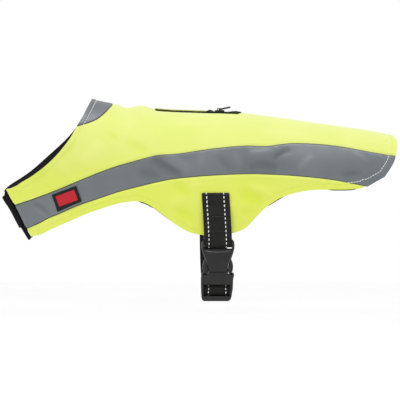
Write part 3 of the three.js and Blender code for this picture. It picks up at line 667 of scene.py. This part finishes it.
def knit():
    finish = Finish("mesh_lining", Specular_IOR_Level=0.2)
    across, along, _ = finish.parts(finish.place(source="UV"))
    pitch = 2.6 * mm
    rows = along.wave(pitch * 1.73) * across.wave(pitch)
    offset = (along + pitch * 0.43).wave(pitch * 1.73) * (across + pitch / 2).wave(pitch)
    hole = (rows * rows + offset * offset).step(0.25, 0.9)
    yarn = finish.grain(finish.place(), 1500.0, detail=1.0)
    # The holes are painted darker than the yarn, as painted shade in them.
    colour = finish.mix(hole, (0.016, 0.016, 0.015), (0.003, 0.003, 0.003))
    finish.wear(Base_Color=colour, Roughness=yarn * 0.2 + 0.7)
    return finish.relief(yarn * 0.3 - hole, 0.5 * mm, 0.7)


# Where the lining peeps out under the near lower edge: from and to in x, and how far, in mm.
PEEKS = [(-71, -56, 2.4), (77, 93, 2.2), (148, 177, 1.9)]


def to_front(point):
    """The lining runs on inside the front edge: right up to it, or to the loop strip at the left."""
    x, y, z = point / mm
    reach = ease(34, 15, behind_front(x, z)) * (0.35 if y < 0 else 1.0)
    down = 2.8 + 3.8 * ease(-130, -92, z)
    return Vector((-11.6, math.copysign(12.3, -y), -down)) * reach * mm


def let_out(node, point):
    """The lining reaches past the far side's neck edge, and here and there past a lower one."""
    if node == "lining_right" and point.x < -60 * mm:
        edge = min(away("back_panel_right", "hem", point), away("stripe_right", "hem", point))
        return Vector((-0.9 * ease(5, 0, edge) * mm, 0, 0))
    if node == "lining_left":
        x = point.x / mm
        shown = sum(reach * ease(a - 4, a + 3, x) * ease(b + 4, b - 3, x) for a, b, reach in PEEKS)
        return Vector((0, 0, -shown * ease(6, 0, away("flank_panel_left", "hem", point)) * mm))
    return Vector()


KNIT = knit()
LINED = {
    "lining_left": {"flat": (0.46, 0.2), "area": 0.0527, "on": "back_panel_left"},
    "lining_right": {"flat": (0.46, 0.2), "area": 0.0527, "on": "back_panel_right"},
    "nape_lining": {"flat": (0.1, 0.045), "area": 0.0026, "on": "nape_patch"},
}
for node, cut in LINED.items():
    piece = skin_of(node, facing=-1, levels=2)
    for vertex in piece.data.vertices:
        vertex.co += to_front(vertex.co)
        vertex.co += let_out(node, vertex.co)
    follow_cloth(piece, slack)
    lay_uv(piece)
    thicken(piece, 1.0 * mm, 0.3 * mm)
    dress(piece, node, KNIT)

# ---- chest closure ----
# Hook and loop tape: a soft loop strip is sewn behind the left front edge and laps over
# the right one, and a stiffer hook tab is sewn on top of it at the left.


def pile(name, tall, colour):
    finish = Finish(name, Roughness=0.9, Specular_IOR_Level=0.03)
    here = finish.place()
    loops = finish.grain(here, 1400.0, detail=3.0, rough=0.7)
    tuft = finish.grain(here, 260.0, detail=2.0)
    tone = (loops * 0.6 + tuft * 0.4).step(0.35, 0.7)
    light = tuple(2.0 * c for c in colour)
    finish.wear(Base_Color=finish.mix(tone, colour, light))
    return finish.relief(loops + tuft, tall, 0.8)


def pressed_tape(node, looks, thickness):
    """One strip of the closure, laid on the cloth."""
    piece = skin_of(node)
    follow_cloth(piece)
    lay_uv(piece)
    thicken(piece, thickness, 0.4 * mm)
    dress(piece, node, looks)


soft = pile("closure_loops", 0.5 * mm, (0.004, 0.004, 0.005))
stiff = pile("closure_hooks", 0.3 * mm, (0.004, 0.004, 0.004))
pressed_tape("closure_loop", soft, 1.2 * mm)
pressed_tape("closure_hook", stiff, 2.0 * mm)

# ---- patch label ----
# A small woven patch on the left band, black with a plain red bar, turned in and sewn
# down all round with black thread.
LABEL_TILT = math.radians(20.6)
low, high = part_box("patch_label")
LABEL_SHIFT = Vector((-1.3, 0, -0.4)) * mm
LABEL_MIDDLE = (low + high) / 2 + LABEL_SHIFT


def woven_patch():
    finish = Finish("woven_label", Roughness=0.8, Specular_IOR_Level=0.15)
    spot = finish.place(turn=(0, -LABEL_TILT, 0), centre=tuple(LABEL_MIDDLE))
    along, _, up = finish.parts(spot)
    # the bar, by half its length and half its height
    bar = abs(along).step(11.6 * mm, 11.0 * mm) * abs(up).step(6.5 * mm, 6.1 * mm)
    rib = up.wave(0.5 * mm) * 0.5 + 0.5
    weft = along.wave(0.45 * mm) * 0.25 + 0.5
    shade = (rib * weft).step(0.0, 0.6)
    red = finish.mix(shade, (0.36, 0.012, 0.02), (0.52, 0.03, 0.04))
    black = finish.mix(shade, (0.008, 0.008, 0.009), (0.02, 0.02, 0.022))
    finish.wear(Base_Color=finish.mix(bar, black, red))
    return finish.relief(rib * weft + bar * 0.5, 0.12 * mm, 0.7)


label = skin_of("patch_label")
for vertex in label.data.vertices:
    vertex.co += LABEL_SHIFT
follow_cloth(label)
lay_uv(label)
thicken(label, 0.7 * mm, 0.3 * mm)
dress(label, "patch_label", woven_patch())

# ---- stitches ----
# Lockstitch in yellow and pale thread, down every hem and beside the zip. Each
# stitch is a short bead of thread, half sunk in the cloth.


@contextlib.contextmanager
def editing():
    """Edit mode, with everything selected."""
    bpy.ops.object.mode_set(mode="EDIT")
    bpy.ops.mesh.select_all(action="SELECT")
    yield
    bpy.ops.object.mode_set(mode="OBJECT")


bpy.ops.object.select_all(action="DESELECT")
bpy.ops.mesh.primitive_uv_sphere_add(segments=6, ring_count=4, radius=0.5)
stitch = bpy.context.object
with editing():
    bpy.ops.transform.rotate(value=math.pi / 2, orient_axis="Y", center_override=(0, 0, 0))
STITCH_POINTS = [v.co.copy() for v in stitch.data.vertices]
STITCH_FACES = [tuple(f.vertices) for f in stitch.data.polygons]
bpy.data.objects.remove(stitch)


def contour(skin, value, level):
    """Lines on a skin where value(point) passes level: lists of (point, normal)."""
    points = [v.co.copy() for v in skin.vertices]
    normals = [v.normal.copy() for v in skin.vertices]
    values = [value(p) for p in points]
    crossing, linked = {}, {}
    for face in skin.polygons:
        cut = []
        for a, b in face.edge_keys:
            if (values[a] - level) * (values[b] - level) < 0:
                t = (level - values[a]) / (values[b] - values[a])
                crossing[a, b] = (points[a].lerp(points[b], t), normals[a].lerp(normals[b], t))
                cut.append((a, b))
        if len(cut) == 2:
            linked.setdefault(cut[0], []).append(cut[1])
            linked.setdefault(cut[1], []).append(cut[0])
    lines, left = [], set(linked)
    while left:
        ends = [key for key in left if len([n for n in linked[key] if n in left]) == 1]
        at = min(ends or left)
        line = []
        while at is not None:
            left.discard(at)
            line.append(crossing[at])
            at = next((n for n in linked[at] if n in left), None)
        if len(line) > 3:
            lines.append(line)
    return lines


def paced(line, pitch):
    """Places along a line a pitch apart: (point, direction, normal)."""
    places, travelled, due = [], 0.0, pitch / 2
    for (p, n), (q, m) in zip(line, line[1:]):
        step = (q - p).length
        while step > 0 and travelled + step > due:
            t = (due - travelled) / step
            places.append((p.lerp(q, t), (q - p).normalized(), n.lerp(m, t).normalized()))
            due += pitch
        travelled += step
    return places


def stitched(name, lines, finish, slot, pitch, long, thick, proud, wide=0.0):
    """Rows of stitches along lines as one piece, sizes in mm."""
    points, faces = [], []
    for line in lines:
        for spot, along, up in paced(line, pitch * mm):
            across = up.cross(along).normalized()
            up = along.cross(across).normalized()
            first = len(points)
            for p in STITCH_POINTS:
                points.append(
                    spot
                    + along * p.x * long * mm
                    + across * p.y * (wide or thick) * mm
                    + up * (p.z * thick + proud) * mm
                )
            faces.extend(tuple(first + i for i in face) for face in STITCH_FACES)
    mesh = bpy.data.meshes.new(name)
    mesh.from_pydata(points, [], faces)
    row = new_piece(name, mesh)
    smooth(mesh)
    mesh.materials.append(finish)
    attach(row, "vest")


def thread(name, colour, gloss=0.5):
    finish = Finish(name, Roughness=gloss)
    twist = finish.grain(finish.place(), 3000.0, detail=1.0)
    dark = tuple(0.7 * c for c in colour)
    finish.wear(Base_Color=finish.mix(twist, dark, colour))
    return finish.relief(twist, 0.08 * mm, 0.6)


YELLOW_ROW = {"finish": thread("yellow_thread", (0.58, 0.65, 0.12)), "slot": "hi_vis_cloth"}
YELLOW_ROW.update(pitch=3.0, long=2.3, thick=0.4, proud=0.0)
PALE_ROW = {"finish": thread("pale_thread", (0.78, 0.80, 0.74)), "slot": "reflective_cloth"}
PALE_ROW.update(pitch=3.4, long=3.2, thick=0.85, proud=0.25)
for node, skin in plain_skins.items():
    beside = node.replace("stripe", "flank_panel")  # the tail's row runs on into the flank seam

    def from_edge(point, node=node, beside=beside):
        return min(away(node, "hem", point), away(beside, "hem", point))

    rows = contour(skin, from_edge, GREY_HEM.get(node, PLAIN_HEM))
    if node.startswith("stripe"):  # at the chest the closure is sewn on instead
        rows = [row for row in rows if row[0][0].x > 0]
    if "zip" in edges[node]:
        rows += contour(skin, lambda p, node=node: away(node, "zip", p), ZIP_TOPSTITCH)
    if rows:
        stitched("stitches_" + node, rows, **(PALE_ROW if node in GREY_HEM else YELLOW_ROW))

# ---- zip ----
# A short moulded zip in the slit on the back: two black woven tapes sewn under the turned
# edges, a row of teeth, and a slider with a pull that swings on its bridge.


def tape_weave():
    finish = Finish("zip_tape", Roughness=0.9, Specular_IOR_Level=0.1)
    across, along, _ = finish.parts(finish.place(source="UV"))
    rib = across.wave(0.9 * mm) * 0.5 + along.wave(1.1 * mm) * 0.3 + 0.5
    dark, light = (0.010, 0.011, 0.006), (0.028, 0.030, 0.018)
    finish.wear(Base_Color=finish.mix(rib.step(0.0, 1.0), dark, light))
    return finish.relief(rib, 0.12 * mm, 0.6)


def black_plastic(name, base, scuffed, gloss, shine=0.5):
    """Moulded plastic: fine spark-eroded grain, a little paler in worn patches."""
    finish = Finish(name, Specular_IOR_Level=shine)
    here = finish.place()
    pit = finish.grain(here, 1800.0, detail=1.0)
    rub = finish.grain(here, 90.0, detail=4.0, rough=0.65).step(0.45, 0.8)
    finish.wear(
        Base_Color=finish.mix(rub, (base, base, base), (scuffed, scuffed, scuffed)),
        Roughness=pit * 0.12 + rub * 0.12 + gloss,
    )
    return finish.relief(pit, 0.03 * mm, 0.6)


ZIP_WEAVE = tape_weave()
ZIP_PLASTIC = black_plastic("zip_plastic", 0.005, 0.010, 0.38, shine=0.25)
for side in SIDES:
    node = "zip_tape_" + side
    tape = skin_of(node, levels=2)
    follow_cloth(tape, slack)
    lay_uv(tape)
    thicken(tape, 0.8 * mm, 0.2 * mm)
    dress(tape, node, ZIP_WEAVE)


def merged_copy(node, name):
    """A CAD node's copy with whole faces instead of loose triangles."""
    piece = new_piece(name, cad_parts[node].data.copy())
    alone(piece)
    with editing():
        bpy.ops.mesh.remove_doubles(threshold=0.02 * mm)
        bpy.ops.mesh.dissolve_limited(angle_limit=math.radians(1))
        bpy.ops.mesh.normals_make_consistent(inside=False)
    return piece


def softened(piece, width, segments=2, angle=25):
    """Rounds a hard piece's edges, and shades all but its sharp ones smooth."""
    rounded(piece, width, segments, angle)
    bpy.ops.object.shade_smooth_by_angle(angle=math.radians(40))


def joined(pieces, name):
    alone(pieces[0])
    for piece in pieces:
        piece.select_set(True)
    bpy.ops.object.join()
    pieces[0].name = name
    return pieces[0]


TOOTH = {"first": 0.8, "pitch": 1.45, "long": 1.0, "wide": 3.0, "tall": 1.7, "aside": 0.7}
UNDER_SLIDER = (18.5, 28.3)  # the stretch of chain that the slider hides, in x, in mm

# The crest that the teeth follow, from the chain's own cross sections.
crest = {}
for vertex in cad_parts["zip_chain"].data.vertices:
    x = round(vertex.co.x / mm, 1)
    crest[x] = max(crest.get(x, -1), vertex.co.z)
stations = sorted(crest)


def crest_at(x):
    after = next((i for i, at in enumerate(stations) if at > x), len(stations) - 1)
    low, high = stations[after - 1], stations[after]
    return crest[low] + (crest[high] - crest[low]) * (x - low) / (high - low)


bpy.ops.object.select_all(action="DESELECT")
bpy.ops.mesh.primitive_cube_add(size=1, location=(0, 0, 0))
tooth = bpy.context.object
with editing():
    bpy.ops.transform.resize(value=tuple(TOOTH[k] * mm for k in ("long", "wide", "tall")))
softened(tooth, 0.25 * mm, 1)
teeth = []


def sunk_chain(x):
    """How far the closed chain lies down between the edges ahead of the slider, in metres."""
    return 0.9 * mm * ease(10, 4, x)


x = stations[0] + TOOTH["first"]
while x < stations[-1] - TOOTH["first"]:
    if not UNDER_SLIDER[0] < x < UNDER_SLIDER[1]:
        copy = new_piece("tooth", tooth.data.copy())
        side = 1 if len(teeth) % 2 else -1
        top = crest_at(x) - sunk_chain(x)
        at = Vector((x * mm, side * TOOTH["aside"] * mm, top - TOOTH["tall"] * mm / 2))
        for vertex in copy.data.vertices:
            vertex.co += at
        teeth.append(copy)
    x += TOOTH["pitch"] * (1 if x < UNDER_SLIDER[0] - 0.5 else 1.08)
core = merged_copy("zip_chain", "chain_core")
for vertex in core.data.vertices:
    x = vertex.co.x / mm
    lower = 0.5 * mm if vertex.co.z > crest_at(x) - 0.4 * mm else 0  # the teeth stand above it
    vertex.co.z -= lower + sunk_chain(x)
bpy.data.objects.remove(tooth)
chain = joined([core, *teeth], "zip_teeth")
dress(chain, "zip_chain", ZIP_PLASTIC)

slider = merged_copy("zip_slider", "zip_slider_body")
underside = min(v.co.z for v in slider.data.vertices)
for vertex in slider.data.vertices:  # its flanges reach down round the chain
    if vertex.co.z < underside + 0.2 * mm:
        vertex.co.z -= 1.8 * mm
softened(slider, 0.35 * mm)
dress(slider, "zip_slider", ZIP_PLASTIC)
pull = merged_copy("zip_pull", "zip_pull_tab")
with editing():
    bpy.ops.transform.shrink_fatten(value=0.25 * mm)
for face in [f for f in pull.data.polygons if f.area > 20 * mm * mm]:  # and thicker still
    for i in face.vertices:
        pull.data.vertices[i].co += face.normal * 0.3 * mm
softened(pull, 0.3 * mm)
dress(pull, "zip_pull", ZIP_PLASTIC, body="pull_tab")

# ---- belly belt ----
# Two ends of black webbing sewn to the flaps, with two rows of white stitches down each. The
# near one turns round the buckle's top bar and comes up again behind itself, where two rows
# of black stitches across the belt hold it. Sizes are in mm.
WEBBING = {"thick": 1.6, "rows": (-10.4, 9.3)}
DASHES = {"pitch": 4.9, "long": 3.1, "thick": 0.4, "proud": 0.05, "wide": 1.25}
TACKS = {"pitch": 2.6, "long": 2.3, "thick": 0.5, "proud": 0.1}
TACK_HEIGHTS, TACK_REACH = (-119, -135.7), 8.5


def webbing_looks():
    finish = Finish("webbing", Roughness=0.7, Specular_IOR_Level=0.3)
    along, across, _ = finish.parts(finish.place(source="UV"))
    rib = along.wave(1.5 * mm) * (across.wave(2.4 * mm) * 0.35 + 0.65)
    fibre = finish.grain(finish.place(), 1600.0, detail=2.0)
    worn = finish.grain(finish.place(), 60.0, detail=3.0).step(0.4, 0.75)
    yarn = finish.mix(worn, (0.0045, 0.0046, 0.0036), (0.009, 0.0092, 0.0076))
    finish.wear(Base_Color=finish.mix(rib.step(-1.0, 0.3), (0.002, 0.002, 0.002), yarn))
    return finish.relief(rib + fibre * 0.5, 0.22 * mm, 0.7)


def askew(node, z):
    """The near belt is sewn on a little askew, in mm: its top lies nearer the neck."""
    down = min(max((-92 - z) / 58, 0), 1)  # 0 at its top and 1 at the buckle
    return 1.3 * down - 1.1 if node == "belt_near" else 0.0


def smooth_route(before, start, end, after, t):
    """A point between start and end, t from 0 to 1, on a smooth curve through all four."""
    bend = (2 * before - 5 * start + 4 * end - after) * t
    wave = (3 * start - before - 3 * end + after) * t * t
    return start + (end - before + bend + wave) * t / 2


def ribbon(node):
    """The middle sheet of a CAD belt, drawn out along its smoothed route from its top end."""
    shape = merged(node)
    ring = sorted(shape.verts, key=lambda v: -v.co.z)[:6]
    seen, route = set(), []  # for each cross section, its middle and half its width
    while ring:
        seen.update(ring)
        by_x = sorted((v.co.copy() for v in ring), key=tuple)  # the same order in every run
        route.append((sum(by_x, Vector()) / 6, (by_x[4] + by_x[5] - by_x[0] - by_x[1]) / 4))
        ring = list({e.other_vert(v) for v in ring for e in v.link_edges} - seen)
    shape.free()
    for middle, _ in route:
        middle.x += askew(node, middle.z / mm) * mm
    bpy.ops.object.select_all(action="DESELECT")
    bpy.ops.mesh.primitive_grid_add(x_subdivisions=4, y_subdivisions=1, size=1)
    piece = bpy.context.object
    steps = 5  # rows of faces from one of the CAD belt's cross sections to the next
    middle, half = route[0]
    first = (route[1][0] - middle) / steps
    for vertex in piece.data.vertices:
        vertex.co = middle + half * vertex.co.x * 2 + (0 if vertex.co.y > 0 else 1) * first
    bpy.ops.object.mode_set(mode="EDIT")
    bpy.ops.mesh.select_mode(type="EDGE")
    shape = bmesh.from_edit_mesh(piece.data)
    for edge in shape.edges:
        ends = sum((v.co for v in edge.verts), Vector()) / 2
        edge.select = edge.is_boundary and abs(ends.z - middle.z - first.z) < abs(first.z) / 3
    shape.select_flush(True)
    bmesh.update_edit_mesh(piece.data)
    at = middle + first
    middles = [middle for middle, _ in (route[0], *route, route[-1])]
    path = []
    for four in zip(middles, middles[1:], middles[2:], middles[3:]):
        path.extend(smooth_route(*four, (i + 1) / steps) for i in range(steps))
    for to in path[1:]:
        bpy.ops.mesh.extrude_region_move(TRANSFORM_OT_translate={"value": to - at})
        at = to
    bpy.ops.object.mode_set(mode="OBJECT")
    return piece


def belt_middle(node, z):
    """Where the middle of a belt is in x: it drifts a little down the flap."""
    drift = 2 * min(max((-92.7 - z) / 48.8, 0), 1) - 1  # -1 at its top and 1 at the flap's hem
    return BELT_X + (drift + askew(node, z)) * mm


WEB = webbing_looks()
WHITE_THREAD = thread("white_thread", (0.80, 0.80, 0.78))
BLACK_THREAD = thread("black_thread", (0.035, 0.035, 0.035))
for node, facing in {"belt_near": -1, "belt_far": 1}.items():
    belt = ribbon(node)
    top = max(belt.data.polygons, key=lambda f: f.center.z)
    if top.normal.y * facing < 0:
        belt.data.flip_normals()
    run = belt.data.copy()
    along = {}  # metres from the top for each vertex, row by row
    shape = bmesh.new()
    shape.from_mesh(belt.data)
    row = [v for v in shape.verts if v.co.z > max(p.co.z for p in shape.verts) - 0.6 * mm]
    seen, travelled = set(), 0.0
    while row:
        seen.update(row)
        for vertex in row:
            along[vertex.index] = travelled
        beyond = {e.other_vert(v): e.calc_length() for v in row for e in v.link_edges}
        row = [v for v in beyond if v not in seen]
        travelled += min([beyond[v] for v in row], default=0)
    shape.free()
    lay_uv(belt, lambda v: (along[v.index], v.co.x - belt_middle(node, v.co.z / mm)))
    modified(belt, "SOLIDIFY", thickness=WEBBING["thick"] * mm, offset=0)
    softened(belt, 0.5 * mm, 3, 55)
    smooth(belt.data)
    dress(belt, node, WEB)
    rows = []
    for place in WEBBING["rows"]:
        for line in contour(run, lambda p: p.x - belt_middle(node, p.z / mm), place * mm):
            for face in (1, -1):
                lift = face * (WEBBING["thick"] / 2) * mm
                rows.append([(point + normal * lift, normal * face) for point, normal in line])
    stitched("dashes_" + node, rows, WHITE_THREAD, "webbing", **DASHES)
    if node == "belt_near":
        tacks = []
        for height in TACK_HEIGHTS:
            middle = belt_middle(node, height)
            for line in contour(run, lambda p: p.z, height * mm):
                inside = [(p, n) for p, n in line if abs(p.x - middle) < TACK_REACH * mm]
                tacks.append([(p + n * (WEBBING["thick"] / 2) * mm, n) for p, n in inside])
        stitched("tacks", tacks, BLACK_THREAD, "webbing", **TACKS)

# ---- side-release buckle ----
# Moulded in black plastic. The plug's two prongs spring out in the socket's side windows;
# each half has a slot with a bar that its webbing turns round.
LEAN = math.radians(12)
DOWN = Vector((0, math.sin(LEAN), -math.cos(LEAN)))
OUT = Vector((0, -math.cos(LEAN), -math.sin(LEAN)))
plug_points = [v.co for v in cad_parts["buckle_plug"].data.vertices]
TOP = min(p.dot(DOWN) for p in plug_points) / mm - 1.9  # where the buckle's own measures start
BACK = min(p.dot(OUT) for p in plug_points) / mm + 3.6
BUCKLE_X = sum(corner.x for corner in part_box("buckle_plug")) / 2 / mm

BUCKLE_PLASTIC = black_plastic("buckle_plastic", 0.005, 0.012, 0.36, shine=0.32)


def in_buckle(point):
    """A point in the buckle's own measures, mm: across, down from its top, and outwards."""
    return Vector((point.x / mm - BUCKLE_X, point.dot(DOWN) / mm - TOP, point.dot(OUT) / mm - BACK))


def placed(across, down, out):
    """The place of a point given in the buckle's own measures."""
    return Vector(((BUCKLE_X + across) * mm, 0, 0)) + DOWN * (TOP + down) * mm + OUT * (BACK + out) * mm


def cut_through(piece, point, normal):
    """Cuts a piece's faces through on a plane of the buckle."""
    alone(piece)
    with editing():
        bpy.ops.mesh.bisect(plane_co=point, plane_no=normal)


def bead(name, route, thick):
    """A raised rib along points given in the buckle's measures."""
    bpy.ops.object.select_all(action="DESELECT")
    bpy.ops.curve.primitive_bezier_curve_add(location=(0, 0, 0))
    rib = bpy.context.object
    rib.name = name
    rib.data.splines.clear()
    line = rib.data.splines.new("BEZIER")
    line.bezier_points.add(len(route) - 1)
    for point, spot in zip(line.bezier_points, route):
        point.co = placed(*spot)
        point.handle_left_type = point.handle_right_type = "AUTO"
    rib.data.resolution_u = 6
    rib.data.bevel_depth = thick / 2 * mm
    rib.data.bevel_resolution = 2
    rib.data.use_fill_caps = True
    bpy.ops.object.convert(target="MESH")
    return rib


# The tongue rises to lie flush with the socket's mouth, and its top edge closes the slot.
plug = merged_copy("buckle_plug", "buckle_plug_moulded")
for down in (17, 20, 23, 26, 29, 32, 35, 37):
    cut_through(plug, placed(0, down, 0), DOWN)
for across in (-11, -8, -4, 0, 4, 8, 11):
    cut_through(plug, placed(across, 0, 0), Vector((1, 0, 0)))
for vertex in plug.data.vertices:
    across, down, out = in_buckle(vertex.co)
    if out > 1.2 and down > 14 and abs(across) < (20 if down < 28.5 else 12.4):  # the tongue
        vertex.co += OUT * 2.1 * ease(14, 37, down) * ease(17, 8, abs(across)) * mm
    if abs(down - 14.6) < 0.5 and abs(across) < 16.2:  # its top edge, along the slot
        vertex.co -= DOWN * 0.9 * mm
softened(plug, 0.35 * mm)
ribs = []
for side in SIDES.values():
    shoulder = [(18.2, 4.5, 1.6), (18.4, 8.5, 1.9), (18.2, 12.5, 1.9), (17.0, 17.5, 1.9)]
    tongue = [(14.9, 23, 2.2), (13.2, 27.5, 2.5), (11.6, 31, 2.8), (10.6, 34, 3.0)]
    ribs.append(bead("edge_rib", [(side * x, down, out) for x, down, out in shoulder + tongue], 0.8))
    prong = [(14.7, 26.5, 1.7), (16.1, 29.4, 1.8), (17.1, 33.5, 1.8), (16.9, 37.5, 1.8)]
    prong.append((15.9, 41.4, 1.7))
    ribs.append(bead("prong_rib", [(side * x, down, out) for x, down, out in prong], 0.8))
lip = [(-14.6, 15.2, 2.1), (-8, 16.3, 2.3), (0, 16.7, 2.3), (8, 16.3, 2.3), (14.6, 15.2, 2.1)]
ribs.append(bead("lip", lip, 0.9))
# Raised rims, in plastic painted much paler than the buckle's, as painted highlights along its edges.
highlit_rims = joined(ribs, "buckle_rims")
dress(highlit_rims, "buckle_plug", black_plastic("rubbed_plastic", 0.05, 0.10, 0.25))

# The socket narrows towards its foot, and its window sits a little higher.
socket = merged_copy("buckle_socket", "buckle_socket_moulded")
for vertex in socket.data.vertices:
    across, down, out = in_buckle(vertex.co)
    raised = 0.0
    if abs(across) < 16.9:  # the window's upper and lower edge
        raised = 1.5 if 55 < down < 57 else 1.2 if 69.7 < down < 71 else 0.0
    narrower = (across + 19) * (0.045 * ease(44, 50, down) + 0.04 * ease(62, 75, down))
    vertex.co -= DOWN * raised * mm + Vector((narrower * mm, 0, 0))
softened(socket, 0.6 * mm, 3)
for piece, level in ((plug, 4.3), (socket, 4.4)):  # flush where the tongue meets the mouth
    for vertex in piece.data.vertices:
        across, down, out = in_buckle(vertex.co)
        if abs(across) < 9.9 and 38 < down < 42 and out > 3.0:
            vertex.co += OUT * (level - out) * mm
for node, half in (("buckle_plug", plug), ("buckle_socket", socket)):
    dress(half, node, BUCKLE_PLASTIC)
